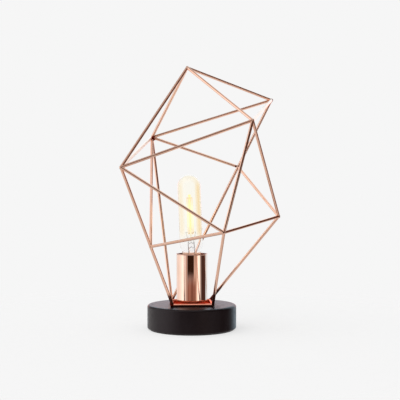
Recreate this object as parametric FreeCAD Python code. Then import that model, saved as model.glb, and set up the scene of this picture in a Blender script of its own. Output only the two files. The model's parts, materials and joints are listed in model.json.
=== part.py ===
import FreeCAD, Part
import math
import os

from FreeCAD import Placement, Rotation, Vector

# Table lamp: an irregular cage of round copper bars stands on a turned black base,
# around a copper lampholder cup and a tubular filament bulb.
# Millimetres. The origin is on the floor under the middle of the base, +Z is up, -Y is the front.

# Base
BASE_DIAMETER = 121.2
BASE_HEIGHT = 33.4            # floor to top face, pad included
BASE_TOP_ROUND = 3.2
BASE_FOOT_ROUND = 1.6
PAD_THICKNESS = 1.5
PAD_INSET = 3.0               # pad edge in from the base's side
RECESS_DIAMETER = 40.0
RECESS_ROOF = 14.0            # solid base left above the recess

# Cord inlet in the back of the base
INLET_BORE = 5.6
INLET_WALL = 1.7
INLET_LENGTH = 14.0
INLET_HEIGHT = 10.0           # centre line above the floor
INLET_LIP = 2.2               # flange beyond the sleeve
INLET_FLANGE = 1.8            # flange thickness
INLET_SINK = 0.5              # flange face below the base's side
INLET_CLEARANCE = 0.1

# Threaded tube and its hardware
TUBE_DIAMETER = 10.0
TUBE_BORE = 7.0
TUBE_CLEARANCE = 0.1          # in every hole it passes
TUBE_END = 2.0                # beyond the lower nut
TUBE_GRIP = 9.5               # length inside the lampholder dome
NUT_WIDTH = 14.0              # across flats
NUT_HEIGHT = 3.2
WASHER_THICKNESS = 1.5
LOWER_WASHER_DIAMETER = 30.0
UPPER_WASHER_DIAMETER = 20.0
LOCK_WASHER_DIAMETER = 17.0
LOCK_WASHER_THICKNESS = 1.8
LOCK_WASHER_SLIT = 1.2

# Wire cage
BAR_DIAMETER = 4.0
WELD_GAP = 0.02               # coped bar end to its leg, and plate to the foot bars
FOOT_SIDE = 53.5              # between the centre lines of opposite foot bars
FOOT_YAW = 3.4                # degrees, anticlockwise from above
PLATE_THICKNESS = 0.8

# Cage corners: places across from the lamp's axis
APEX_ACROSS = -6.1
CROWN_FRONT_LEFT_ACROSS = -90.8
CROWN_FRONT_RIGHT_ACROSS = 79.1
CROWN_BACK_RIGHT_ACROSS = 114.7
CROWN_BACK_LEFT_ACROSS = -58.4
WAIST_FRONT_ACROSS = 41.7
WAIST_RIGHT_ACROSS = 119.2

# Cage corners: places behind the lamp's axis, which the apex is level with
CROWN_FRONT_BACK = -62.0
CROWN_BACK_BACK = 68.0
WAIST_FRONT_BACK = -75.0
WAIST_RIGHT_BACK = 5.0

# Cage corners: heights above the base's top face, the last two on the long legs
APEX_HEIGHT = 323.2
CROWN_FRONT_LEFT_HEIGHT = 184.5
CROWN_FRONT_RIGHT_HEIGHT = 244.9
CROWN_BACK_RIGHT_HEIGHT = 287.2
CROWN_BACK_LEFT_HEIGHT = 233.2
WAIST_FRONT_HEIGHT = 100.8
WAIST_RIGHT_HEIGHT = 119.8
WAIST_LEFT_HEIGHT = 81.0
WAIST_BACK_HEIGHT = 189.7

# Lampholder cup
CUP_DIAMETER = 41.6
CUP_HEIGHT = 65.2
CUP_WALL = 0.8
CUP_FOOT_ROUND = 3.0
CUP_LIP = 1.6                 # thickness of the rolled rim

# Lampholder inside the cup
HOLDER_ROOM = 0.8             # lampholder to the cup's wall
DOME_HEIGHT = 18.0
DOME_SKIRT = 10.0             # full width part of the dome
DOME_WALL = 2.9
BARREL_WALL = 2.6             # over the dome's neck
BARREL_RECESS = 3.7           # barrel top below the cup's rim
BARREL_LIP = 0.45             # holds the screw shell down
HOLDER_CLEARANCE = 0.1
INSERT_THICKNESS = 5.2
SHELL_WALL = 0.5
SHELL_HEIGHT = 25.0
CONTACT_THICKNESS = 0.6
CONTACT_WIDTH = 6.0
CONTACT_RISE = 4.0            # top of the sprung tongue above the insert
CONTACT_TONGUE = 4.0          # flat top of the tongue either side of the axis
TERMINAL_REACH = 9.0          # terminal screws from the axis
TERMINAL_SHANK = 3.0
TERMINAL_HEAD = 6.0
TERMINAL_HEAD_HEIGHT = 2.5

# Bulb
BULB_LENGTH = 140.0           # tip contact to top of the glass
BULB_LEAN = 2.3               # degrees, glass towards -X on its cap
BULB_CLEARANCE = 0.3          # cap to screw shell
CAP_DIAMETER = 26.3
CAP_WALL = 0.4
CAP_LENGTH = 26.5             # tip contact to cap rim
TIP_DIAMETER = 9.5
TIP_HEIGHT = 1.0
TIP_GAP = 0.1                 # tip to sprung tongue at rest
INSULATOR_HEIGHT = 3.5
INSULATOR_DIAMETER = 21.0
TUBE_GLASS_DIAMETER = 31.5
NECK_DIAMETER = 24.4
NECK_DEPTH = 7.0              # glass inside the cap
NECK_RISE = 2.5               # straight neck above the cap
SHOULDER_HEIGHT = 18.0
GLASS_WALL = 0.8
STEM_FLARE_GAP = 0.1          # stem flare to neck
STEM_FLARE_THICKNESS = 1.2
STEM_DIAMETER = 9.2
STEM_HEIGHT = 20.0            # flare to press
PRESS_HEIGHT = 9.0            # where the stem's round end is pinched flat
PRESS_WIDTH = 9.8
PRESS_THICKNESS = 3.0
ROD_DIAMETER = 2.0
FILAMENT_BOTTOM = 61.0        # above the tip contact
FILAMENT_LENGTH = 46.0
FILAMENT_RADIUS = 3.6         # ring on which the runs stand
FILAMENT_RUNS = 6
FILAMENT_WIRE = 0.5
SUPPORT_WIRE = 0.5
SUPPORT_GAP = 0.05            # support to filament loop
SUPPORT_REACH = 0.9           # support beyond the loop
ROD_TOP = 3.0                 # rod above the upper supports
LEAD_WIRE = 0.7
LEAD_SPREAD = 7.0             # widest place of the leads from the bulb's axis
LEAD_SPREAD_RISE = 2.0        # widest place above the filament's ends
LEAD_BEND = 1.2               # centre line radius where a lead turns in

# Levels that follow from the sizes above
RECESS_TOP = BASE_HEIGHT - RECESS_ROOF
LOWER_WASHER_BOTTOM = RECESS_TOP - WASHER_THICKNESS
LOCK_WASHER_BOTTOM = LOWER_WASHER_BOTTOM - LOCK_WASHER_THICKNESS
LOWER_NUT_BOTTOM = LOCK_WASHER_BOTTOM - NUT_HEIGHT
PLATE_TOP = BASE_HEIGHT + PLATE_THICKNESS
CUP_BOTTOM = PLATE_TOP + NUT_HEIGHT
CUP_RIM = CUP_BOTTOM + CUP_HEIGHT
UPPER_WASHER_BOTTOM = CUP_BOTTOM + CUP_WALL
UPPER_NUT_BOTTOM = UPPER_WASHER_BOTTOM + WASHER_THICKNESS
DOME_BOTTOM = UPPER_NUT_BOTTOM + NUT_HEIGHT
DOME_SHOULDER = DOME_BOTTOM + DOME_SKIRT
INSERT_BOTTOM = DOME_BOTTOM + DOME_HEIGHT
INSERT_TOP = INSERT_BOTTOM + INSERT_THICKNESS
TERMINAL_BOTTOM = INSERT_BOTTOM - TERMINAL_HEAD_HEIGHT
SHELL_BOTTOM = INSERT_TOP + CONTACT_THICKNESS
SHELL_TOP = SHELL_BOTTOM + SHELL_HEIGHT
BARREL_TOP = CUP_RIM - BARREL_RECESS
BULB_TIP = INSERT_TOP + CONTACT_RISE + TIP_GAP
CAP_RIM = BULB_TIP + CAP_LENGTH

# Radii that follow from the sizes above
TUBE_HOLE = TUBE_DIAMETER / 2 + TUBE_CLEARANCE
BAR_RADIUS = BAR_DIAMETER / 2
CAP_RADIUS = CAP_DIAMETER / 2
SHELL_INNER = CAP_RADIUS + BULB_CLEARANCE
SHELL_OUTER = SHELL_INNER + SHELL_WALL
HOLDER_RADIUS = CUP_DIAMETER / 2 - CUP_WALL - HOLDER_ROOM
BARREL_INNER = HOLDER_RADIUS - BARREL_WALL
INSERT_RADIUS = BARREL_INNER - HOLDER_CLEARANCE

UP = Vector(0, 0, 1)
CENTRE = Vector(0, 0, 0)


def disc(radius, bottom, top):
    """Upright cylinder on the lamp's axis."""
    return Part.makeCylinder(radius, top - bottom, Vector(0, 0, bottom))


def ring(outer, inner, bottom, top):
    """Upright tube on the lamp's axis."""
    return disc(outer, bottom, top).cut(disc(inner, bottom, top))


def rim_edges(shape, height):
    """Circular edges of a turned piece at one level."""
    rims = [edge for edge in shape.Edges if isinstance(edge.Curve, Part.Circle)]
    return [edge for edge in rims if abs(edge.Curve.Center.z - height) < 1e-6]


def turned(edges):
    """Solid of revolution about the lamp's axis from an outline in the XZ plane."""
    outline = Part.Wire(Part.sortEdges(edges)[0])
    return Part.Face(outline).revolve(CENTRE, UP, 360)


def line(start, end):
    return Part.LineSegment(start, end).toShape()


def at(radius, height):
    """Point of a turned outline."""
    return Vector(radius, 0, height)


def round_bar(start, end, radius):
    """Round bar with ball ends centred on its two end points."""
    length = (end - start).Length
    bend = radius / math.sqrt(2)
    outline = [
        Part.Arc(at(0, -radius), at(bend, -bend), at(radius, 0)).toShape(),
        line(at(radius, 0), at(radius, length)),
        Part.Arc(at(radius, length), at(bend, length + bend), at(0, length + radius)).toShape(),
        line(at(0, length + radius), at(0, -radius)),
    ]
    bar = turned(outline)
    bar.Placement = Placement(start, Rotation(UP, end - start))
    return bar


def hex_nut(bottom):
    """Plain hexagon nut on the threaded tube."""
    corner = NUT_WIDTH / math.sqrt(3)
    turns = [math.radians(60 * k) for k in range(7)]
    outline = Part.makePolygon([Vector(corner * math.cos(a), corner * math.sin(a), bottom) for a in turns])
    nut = Part.Face(outline).extrude(UP * NUT_HEIGHT)
    return nut.cut(disc(TUBE_HOLE, bottom, bottom + NUT_HEIGHT))


def washer(diameter, bottom):
    return ring(diameter / 2, TUBE_HOLE, bottom, bottom + WASHER_THICKNESS)


# Base and inlet

def inlet_sleeve(radius, start, end):
    """Horizontal cylinder on the inlet's centre line, from one distance behind the axis to another."""
    return Part.makeCylinder(radius, end - start, Vector(0, start, INLET_HEIGHT), Vector(0, 1, 0))


INLET_RADIUS = INLET_BORE / 2 + INLET_WALL
INLET_FACE = BASE_DIAMETER / 2 - INLET_SINK
INLET_SEAT = INLET_FACE - INLET_FLANGE


def base_disc():
    """Turned disc with a recess for the nut, the tube's hole and the cord channel to the back."""
    body = disc(BASE_DIAMETER / 2, PAD_THICKNESS, BASE_HEIGHT)
    body = body.makeFillet(BASE_TOP_ROUND, rim_edges(body, BASE_HEIGHT))
    body = body.makeFillet(BASE_FOOT_ROUND, rim_edges(body, PAD_THICKNESS))
    body = body.cut(disc(RECESS_DIAMETER / 2, PAD_THICKNESS, RECESS_TOP))
    body = body.cut(disc(TUBE_HOLE, RECESS_TOP, BASE_HEIGHT))
    body = body.cut(inlet_sleeve(INLET_RADIUS + INLET_CLEARANCE, 0, INLET_SEAT))
    flange = INLET_RADIUS + INLET_LIP + INLET_CLEARANCE
    return body.cut(inlet_sleeve(flange, INLET_SEAT, BASE_DIAMETER))


def base_pad():
    return disc(BASE_DIAMETER / 2 - PAD_INSET, 0, PAD_THICKNESS)


def cord_grommet():
    """Flanged bush that lines the back end of the cord channel."""
    bush = inlet_sleeve(INLET_RADIUS, INLET_FACE - INLET_LENGTH, INLET_FACE)
    bush = bush.fuse(inlet_sleeve(INLET_RADIUS + INLET_LIP, INLET_SEAT, INLET_FACE)).removeSplitter()
    return bush.cut(inlet_sleeve(INLET_BORE / 2, 0, BASE_DIAMETER))


# Tube and hardware

def threaded_tube():
    return ring(TUBE_DIAMETER / 2, TUBE_BORE / 2, LOWER_NUT_BOTTOM - TUBE_END, DOME_BOTTOM + TUBE_GRIP)


def lock_washer():
    """Split spring washer."""
    top = LOCK_WASHER_BOTTOM + LOCK_WASHER_THICKNESS
    body = ring(LOCK_WASHER_DIAMETER / 2, TUBE_HOLE, LOCK_WASHER_BOTTOM, top)
    slit = Part.makeBox(
        LOCK_WASHER_DIAMETER, LOCK_WASHER_SLIT, LOCK_WASHER_THICKNESS,
        Vector(0, -LOCK_WASHER_SLIT / 2, LOCK_WASHER_BOTTOM))
    return body.cut(slit)


# Wire cage

def foot_corner(across, back):
    """Corner of the foot square, where the foot bars lie on the base."""
    yaw = Rotation(UP, FOOT_YAW)
    flat = yaw.multVec(Vector(across * FOOT_SIDE / 2, back * FOOT_SIDE / 2, 0))
    return flat + UP * (BASE_HEIGHT + BAR_RADIUS)


def on_base(across, back, height):
    """Corner at a height above the base's top face."""
    return Vector(across, back, BASE_HEIGHT + height)


def along(start, end, height):
    """Point of a straight leg at a height above the base's top face."""
    share = (BASE_HEIGHT + height - start.z) / (end.z - start.z)
    return start + (end - start) * share


CORNERS = {
    "apex": on_base(APEX_ACROSS, 0, APEX_HEIGHT),
    "crown_front_left": on_base(CROWN_FRONT_LEFT_ACROSS, CROWN_FRONT_BACK, CROWN_FRONT_LEFT_HEIGHT),
    "crown_front_right": on_base(CROWN_FRONT_RIGHT_ACROSS, CROWN_FRONT_BACK, CROWN_FRONT_RIGHT_HEIGHT),
    "crown_back_right": on_base(CROWN_BACK_RIGHT_ACROSS, CROWN_BACK_BACK, CROWN_BACK_RIGHT_HEIGHT),
    "crown_back_left": on_base(CROWN_BACK_LEFT_ACROSS, CROWN_BACK_BACK, CROWN_BACK_LEFT_HEIGHT),
    "waist_front": on_base(WAIST_FRONT_ACROSS, WAIST_FRONT_BACK, WAIST_FRONT_HEIGHT),
    "waist_right": on_base(WAIST_RIGHT_ACROSS, WAIST_RIGHT_BACK, WAIST_RIGHT_HEIGHT),
    "foot_front_left": foot_corner(-1, -1),
    "foot_front_right": foot_corner(1, -1),
    "foot_back_right": foot_corner(1, 1),
    "foot_back_left": foot_corner(-1, 1),
}
CORNERS["waist_left"] = along(CORNERS["foot_front_left"], CORNERS["crown_front_left"], WAIST_LEFT_HEIGHT)
CORNERS["waist_back"] = along(CORNERS["foot_back_left"], CORNERS["crown_back_right"], WAIST_BACK_HEIGHT)

# Each bar runs between two corners
BARS = {
    "apex_bar_front_left": ("apex", "crown_front_left"),
    "apex_bar_front_right": ("apex", "crown_front_right"),
    "apex_bar_back_right": ("apex", "crown_back_right"),
    "apex_bar_back_left": ("apex", "crown_back_left"),
    "crown_bar_front": ("crown_front_left", "crown_front_right"),
    "crown_bar_right": ("crown_front_right", "crown_back_right"),
    "crown_bar_back": ("crown_back_right", "crown_back_left"),
    "crown_bar_left": ("crown_back_left", "crown_front_left"),
    "front_diagonal": ("crown_front_left", "waist_front"),
    "front_upright": ("crown_front_right", "waist_front"),
    "right_upright": ("crown_front_right", "waist_right"),
    "left_brace": ("crown_back_left", "waist_left"),
    "back_brace": ("crown_back_left", "waist_back"),
    "waist_bar_front": ("waist_left", "waist_front"),
    "waist_bar_right": ("waist_front", "waist_right"),
    "waist_bar_back": ("waist_right", "waist_back"),
    "leg_front_left": ("crown_front_left", "foot_front_left"),
    "leg_front_right": ("waist_front", "foot_front_right"),
    "leg_back_right": ("waist_right", "foot_back_right"),
    "leg_back_left": ("crown_back_left", "foot_back_left"),
    "leg_long_back": ("crown_back_right", "foot_back_left"),
    "foot_bar_front": ("foot_front_left", "foot_front_right"),
    "foot_bar_right": ("foot_front_right", "foot_back_right"),
    "foot_bar_back": ("foot_back_right", "foot_back_left"),
    "foot_bar_left": ("foot_back_left", "foot_front_left"),
}

# Legs that pass straight through a corner, where other bars are coped to them
THROUGH_LEGS = {"waist_left": "leg_front_left", "waist_back": "leg_long_back"}


def far_corner(bar, corner):
    """Other end of a bar."""
    start, end = BARS[bar]
    return end if corner == start else start


def direction(bar, corner):
    """Unit vector along a bar, away from one of its corners."""
    away = CORNERS[far_corner(bar, corner)] - CORNERS[corner]
    return away.normalize()


def cut_behind(shape, corner, normal):
    """Cut away what lies behind a plane through a corner, with a block far wider than the bar."""
    reach = 10 * BAR_DIAMETER
    block = Part.makeBox(2 * reach, 2 * reach, reach, Vector(-reach, -reach, -reach))
    block.Placement = Placement(CORNERS[corner], Rotation(UP, normal))
    return shape.cut(block)


def cage_bar(name):
    """One bar, mitred against the bars that end at its corners and coped to a leg that passes through."""
    ends = BARS[name]
    bar = round_bar(CORNERS[ends[0]], CORNERS[ends[1]], BAR_RADIUS)
    for corner in ends:
        own = direction(name, corner)
        for other in BARS:
            if other != name and corner in BARS[other]:
                bar = cut_behind(bar, corner, own - direction(other, corner))
        if corner in THROUGH_LEGS:
            leg_start, leg_end = BARS[THROUGH_LEGS[corner]]
            bar = bar.cut(round_bar(CORNERS[leg_start], CORNERS[leg_end], BAR_RADIUS + WELD_GAP))
    return bar


def cage_plate():
    """Square plate on the base, welded to the foot bars along its edge, with the tube's hole."""
    drop = max(0, BAR_RADIUS - PLATE_THICKNESS)
    side = FOOT_SIDE - 2 * (math.sqrt(BAR_RADIUS ** 2 - drop ** 2) + WELD_GAP)
    plate = Part.makeBox(side, side, PLATE_THICKNESS, Vector(-side / 2, -side / 2, BASE_HEIGHT))
    plate.rotate(CENTRE, UP, FOOT_YAW)
    return plate.cut(disc(TUBE_HOLE, BASE_HEIGHT, PLATE_TOP))


# Lampholder

def lampholder_cup():
    """Drawn cup with a rounded foot, a rolled rim and a hole for the tube."""
    lip_middle = CUP_RIM - CUP_LIP / 2
    outer = disc(CUP_DIAMETER / 2, CUP_BOTTOM, lip_middle)
    outer = outer.makeFillet(CUP_FOOT_ROUND, rim_edges(outer, CUP_BOTTOM))
    floor = CUP_BOTTOM + CUP_WALL
    inner = disc(CUP_DIAMETER / 2 - CUP_WALL, floor, CUP_RIM)
    inner = inner.makeFillet(CUP_FOOT_ROUND - CUP_WALL, rim_edges(inner, floor))
    cup = outer.cut(inner).cut(disc(TUBE_HOLE, CUP_BOTTOM, floor))
    lip = Part.makeTorus((CUP_DIAMETER - CUP_WALL) / 2, CUP_LIP / 2, Vector(0, 0, lip_middle))
    return cup.fuse(lip).removeSplitter()


def holder_dome():
    """Insulating foot of the lampholder: grips the tube and holds the wiring chamber."""
    dome = disc(HOLDER_RADIUS, DOME_BOTTOM, DOME_SHOULDER)
    dome = dome.fuse(disc(INSERT_RADIUS, DOME_SHOULDER, INSERT_BOTTOM))
    dome = dome.cut(disc(INSERT_RADIUS - DOME_WALL, DOME_BOTTOM + TUBE_GRIP, INSERT_BOTTOM))
    dome = dome.cut(disc(TUBE_HOLE, DOME_BOTTOM, DOME_BOTTOM + TUBE_GRIP))
    return terminal_holes(dome, TERMINAL_HEAD, TERMINAL_BOTTOM - HOLDER_CLEARANCE)


def terminal_places():
    return [Vector(TERMINAL_REACH, 0, 0), Vector(-TERMINAL_REACH, 0, 0)]


def terminal_holes(shape, diameter, bottom):
    """Clear a piece for a diameter of the two terminal screws, from a level upwards."""
    for place in terminal_places():
        bore = disc(diameter / 2 + HOLDER_CLEARANCE, bottom, BULB_TIP)
        shape = shape.cut(bore.translate(place))
    return shape


def holder_insert():
    """Ceramic disc that carries the contacts."""
    return terminal_holes(disc(INSERT_RADIUS, INSERT_BOTTOM, INSERT_TOP), TERMINAL_SHANK, TERMINAL_BOTTOM)


def holder_barrel():
    """Insulating barrel: slips over the dome's neck, clamps the insert and keeps the screw shell."""
    barrel = ring(HOLDER_RADIUS, BARREL_INNER, DOME_SHOULDER, INSERT_TOP)
    sleeve = ring(HOLDER_RADIUS, SHELL_OUTER + HOLDER_CLEARANCE, INSERT_TOP, SHELL_TOP)
    lip = ring(HOLDER_RADIUS, SHELL_OUTER - BARREL_LIP, SHELL_TOP, BARREL_TOP)
    return barrel.fuse(sleeve).fuse(lip).removeSplitter()


def screw_shell():
    return ring(SHELL_OUTER, SHELL_INNER, SHELL_BOTTOM, SHELL_TOP)


def contact_strip(places):
    """Bent strip of one thickness: its upper line runs through places in the XZ plane."""
    lower = [place - UP * CONTACT_THICKNESS for place in reversed(places)]
    outline = Part.makePolygon(places + lower + places[:1])
    strip = Part.Face(outline).extrude(Vector(0, CONTACT_WIDTH, 0))
    return terminal_holes(strip.translate(Vector(0, -CONTACT_WIDTH / 2, 0)), TERMINAL_SHANK, TERMINAL_BOTTOM)


def centre_contact():
    """Sprung tongue under the bulb's tip."""
    low = SHELL_BOTTOM
    high = INSERT_TOP + CONTACT_RISE
    outer = TERMINAL_REACH + TERMINAL_SHANK
    knee = TERMINAL_REACH - TERMINAL_SHANK
    tongue = [at(CONTACT_TONGUE / 2, high), at(-CONTACT_TONGUE, high)]
    return contact_strip([at(outer, low), at(knee, low)] + tongue)


def side_contact():
    """Flat strip on which the screw shell stands."""
    inner = TERMINAL_REACH - TERMINAL_SHANK
    outer = math.sqrt(SHELL_OUTER ** 2 - (CONTACT_WIDTH / 2) ** 2)
    return contact_strip([at(-inner, SHELL_BOTTOM), at(-outer, SHELL_BOTTOM)])


def terminal_screws():
    """Two screws, heads under the insert, that hold the contacts."""
    screws = []
    for place in terminal_places():
        head = disc(TERMINAL_HEAD / 2, TERMINAL_BOTTOM, INSERT_BOTTOM)
        screw = head.fuse(disc(TERMINAL_SHANK / 2, INSERT_BOTTOM, SHELL_BOTTOM))
        screws.append(screw.translate(place))
    return Part.makeCompound(screws)


# Bulb

def leaning(shape):
    """Tilt what belongs to the glass about the middle of the cap's rim."""
    shape.rotate(Vector(0, 0, CAP_RIM), Vector(0, 1, 0), -BULB_LEAN)
    return shape


INSULATOR_BOTTOM = BULB_TIP + TIP_HEIGHT
CAP_BOTTOM = INSULATOR_BOTTOM + INSULATOR_HEIGHT
GLASS_BOTTOM = CAP_RIM - NECK_DEPTH
SHOULDER_BOTTOM = CAP_RIM + NECK_RISE
SHOULDER_TOP = SHOULDER_BOTTOM + SHOULDER_HEIGHT
GLASS_TOP = BULB_TIP + BULB_LENGTH
PRESS_BOTTOM = GLASS_BOTTOM + STEM_HEIGHT
PRESS_TOP = PRESS_BOTTOM + PRESS_HEIGHT
LOOP_BOTTOM = BULB_TIP + FILAMENT_BOTTOM
LOOP_TOP = LOOP_BOTTOM + FILAMENT_LENGTH
LOOP_RADIUS = FILAMENT_RADIUS * math.sin(math.pi / FILAMENT_RUNS)
SUPPORT_OFFSET = LOOP_RADIUS - (FILAMENT_WIRE + SUPPORT_WIRE) / 2 - SUPPORT_GAP


def bulb_tip():
    return disc(TIP_DIAMETER / 2, BULB_TIP, INSULATOR_BOTTOM)


def bulb_insulator():
    """Dark glass cone between the tip and the screw cap."""
    foot = Vector(0, 0, INSULATOR_BOTTOM)
    return Part.makeCone(TIP_DIAMETER / 2, INSULATOR_DIAMETER / 2, INSULATOR_HEIGHT, foot)


def bulb_cap():
    """Screw cap: a cup whose floor holds the insulator."""
    cap = ring(CAP_RADIUS, CAP_RADIUS - CAP_WALL, CAP_BOTTOM, CAP_RIM)
    return cap.fuse(disc(CAP_RADIUS, CAP_BOTTOM, CAP_BOTTOM + CAP_WALL)).removeSplitter()


def glass_envelope(inset):
    """Outline of the glass, moved in by an inset and turned."""
    neck = NECK_DIAMETER / 2 - inset
    tube = TUBE_GLASS_DIAMETER / 2 - inset
    dome_centre = GLASS_TOP - TUBE_GLASS_DIAMETER / 2
    bend = tube / math.sqrt(2)
    flare = (SHOULDER_HEIGHT ** 2 + (tube - neck) ** 2) / (4 * (tube - neck))
    swing = math.asin(SHOULDER_HEIGHT / 2 / flare) / 2
    dip = flare * (1 - math.cos(swing))
    step = flare * math.sin(swing)
    middle = at((neck + tube) / 2, (SHOULDER_BOTTOM + SHOULDER_TOP) / 2)
    return turned([
        line(at(0, GLASS_BOTTOM), at(neck, GLASS_BOTTOM)),
        line(at(neck, GLASS_BOTTOM), at(neck, SHOULDER_BOTTOM)),
        Part.Arc(at(neck, SHOULDER_BOTTOM), at(neck + dip, SHOULDER_BOTTOM + step), middle).toShape(),
        Part.Arc(middle, at(tube - dip, SHOULDER_TOP - step), at(tube, SHOULDER_TOP)).toShape(),
        line(at(tube, SHOULDER_TOP), at(tube, dome_centre)),
        Part.Arc(at(tube, dome_centre), at(bend, dome_centre + bend), at(0, dome_centre + tube)).toShape(),
        line(at(0, dome_centre + tube), at(0, GLASS_BOTTOM)),
    ])


def bulb_glass():
    return leaning(glass_envelope(0).cut(glass_envelope(GLASS_WALL)))


def four_corners(across, back, height):
    """Corners of a level rectangle about the lamp's axis, anticlockwise from the front left."""
    signs = [(-1, -1), (1, -1), (1, 1), (-1, 1)]
    return [Vector(right * across, behind * back, height) for right, behind in signs]


def slot_outline(width, thickness, height):
    """Level outline with straight sides and round ends."""
    end = thickness / 2
    corners = four_corners(width / 2 - end, end, height)
    return Part.Wire([
        line(corners[0], corners[1]),
        Part.Arc(corners[1], Vector(width / 2, 0, height), corners[2]).toShape(),
        line(corners[2], corners[3]),
        Part.Arc(corners[3], Vector(-width / 2, 0, height), corners[0]).toShape(),
    ])


def round_outline(radius, height):
    """Level circle in four arcs, to match a slot's four sides."""
    bend = radius / math.sqrt(2)
    corners = four_corners(bend, bend, height)
    return Part.Wire([
        Part.Arc(corners[0], Vector(0, -radius, height), corners[1]).toShape(),
        Part.Arc(corners[1], Vector(radius, 0, height), corners[2]).toShape(),
        Part.Arc(corners[2], Vector(0, radius, height), corners[3]).toShape(),
        Part.Arc(corners[3], Vector(-radius, 0, height), corners[0]).toShape(),
    ])


def bulb_stem():
    """Glass stem: flare on the neck, tube, flattened press and a rod with a button."""
    flare = NECK_DIAMETER / 2 - GLASS_WALL - STEM_FLARE_GAP
    stem = disc(flare, GLASS_BOTTOM, GLASS_BOTTOM + STEM_FLARE_THICKNESS)
    stem = stem.fuse(disc(STEM_DIAMETER / 2, GLASS_BOTTOM, PRESS_BOTTOM))
    press = Part.makeLoft([
        round_outline(STEM_DIAMETER / 2, PRESS_BOTTOM),
        slot_outline(PRESS_WIDTH, PRESS_THICKNESS, PRESS_TOP),
    ], True)
    rod_top = LOOP_TOP + SUPPORT_OFFSET + ROD_TOP
    stem = stem.fuse(press).fuse(disc(ROD_DIAMETER / 2, PRESS_TOP, rod_top))
    button = Part.makeSphere(ROD_DIAMETER, Vector(0, 0, rod_top))
    return leaning(stem.fuse(button).removeSplitter())


def run_place(run, height):
    """Place on one upright run of the filament: the first and last runs are at the front."""
    turn = math.radians(360 / FILAMENT_RUNS * (run + 0.5) - 90)
    return Vector(FILAMENT_RADIUS * math.cos(turn), FILAMENT_RADIUS * math.sin(turn), height)


def filament():
    """One wire up and down between the supports."""
    edges = []
    for run in range(FILAMENT_RUNS):
        rising = run % 2 == 0
        ends = (LOOP_BOTTOM, LOOP_TOP) if rising else (LOOP_TOP, LOOP_BOTTOM)
        edges.append(line(run_place(run, ends[0]), run_place(run, ends[1])))
        if run + 1 < FILAMENT_RUNS:
            start = run_place(run, ends[1])
            end = run_place(run + 1, ends[1])
            crest = (start + end) / 2 + UP * (LOOP_RADIUS if rising else -LOOP_RADIUS)
            edges.append(Part.Arc(start, crest, end).toShape())
    section = Part.Wire(Part.makeCircle(FILAMENT_WIRE / 2, run_place(0, LOOP_BOTTOM), UP))
    return leaning(Part.Wire(edges).makePipeShell([section], True, True))


def filament_supports():
    """Spokes from the rod that hold the filament's upper and lower loops."""
    spokes = []
    for run in range(FILAMENT_RUNS - 1):
        rising = run % 2 == 0
        height = LOOP_TOP + SUPPORT_OFFSET if rising else LOOP_BOTTOM - SUPPORT_OFFSET
        loop = (run_place(run, height) + run_place(run + 1, height)) / 2
        out = Vector(loop.x, loop.y, 0).normalize()
        start = out * (ROD_DIAMETER / 2 + SUPPORT_WIRE / 2) + UP * height
        spokes.append(round_bar(start, loop + out * SUPPORT_REACH, SUPPORT_WIRE / 2))
    return leaning(Part.makeCompound(spokes))


def bent_wire(start, knee, end):
    """Lead wire of two straight runs with a round bend at the knee."""
    back = (start - knee).normalize()
    on = (end - knee).normalize()
    half = back.getAngle(on) / 2
    setback = LEAD_BEND / math.tan(half)
    crest = knee + (back + on).normalize() * (LEAD_BEND / math.sin(half) - LEAD_BEND)
    path = Part.Wire([
        line(start, knee + back * setback),
        Part.Arc(knee + back * setback, crest, knee + on * setback).toShape(),
        line(knee + on * setback, end),
    ])
    section = Part.Wire(Part.makeCircle(LEAD_WIRE / 2, start, knee - start))
    return path.makePipeShell([section], True, True)


def lead_wires():
    """Two bent wires from the press to the filament's ends."""
    leads = []
    for run in (0, FILAMENT_RUNS - 1):
        end = run_place(run, LOOP_BOTTOM - LEAD_WIRE)
        side = math.copysign(1, end.x)
        root = Vector(side * (PRESS_WIDTH - PRESS_THICKNESS) / 2, 0, PRESS_TOP + LEAD_WIRE / 2)
        knee = Vector(side * LEAD_SPREAD, end.y / 2, LOOP_BOTTOM + LEAD_SPREAD_RISE)
        leads.append(bent_wire(root, knee, end))
    return leaning(Part.makeCompound(leads))


def build():
    """Every piece by its name."""
    pieces = {
        "base_disc": base_disc(),
        "base_pad": base_pad(),
        "cord_grommet": cord_grommet(),
        "threaded_tube": threaded_tube(),
        "lower_washer": washer(LOWER_WASHER_DIAMETER, LOWER_WASHER_BOTTOM),
        "lock_washer": lock_washer(),
        "lower_nut": hex_nut(LOWER_NUT_BOTTOM),
        "cage_plate": cage_plate(),
        "cage_nut": hex_nut(PLATE_TOP),
        "lampholder_cup": lampholder_cup(),
        "upper_washer": washer(UPPER_WASHER_DIAMETER, UPPER_WASHER_BOTTOM),
        "upper_nut": hex_nut(UPPER_NUT_BOTTOM),
        "holder_dome": holder_dome(),
        "holder_insert": holder_insert(),
        "holder_barrel": holder_barrel(),
        "screw_shell": screw_shell(),
        "centre_contact": centre_contact(),
        "side_contact": side_contact(),
        "terminal_screws": terminal_screws(),
        "bulb_tip": bulb_tip(),
        "bulb_insulator": bulb_insulator(),
        "bulb_cap": bulb_cap(),
        "bulb_glass": bulb_glass(),
        "bulb_stem": bulb_stem(),
        "filament": filament(),
        "filament_supports": filament_supports(),
        "lead_wires": lead_wires(),
    }
    for name in BARS:
        pieces[name] = cage_bar(name)
    return pieces


os.makedirs("parts", exist_ok=True)
for node, shape in build().items():
    shape.exportStep("parts/" + node + ".step")
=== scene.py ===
import json
import math

import bmesh
import bpy
import numpy as np
from mathutils import Matrix, Vector, noise as lumps


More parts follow.
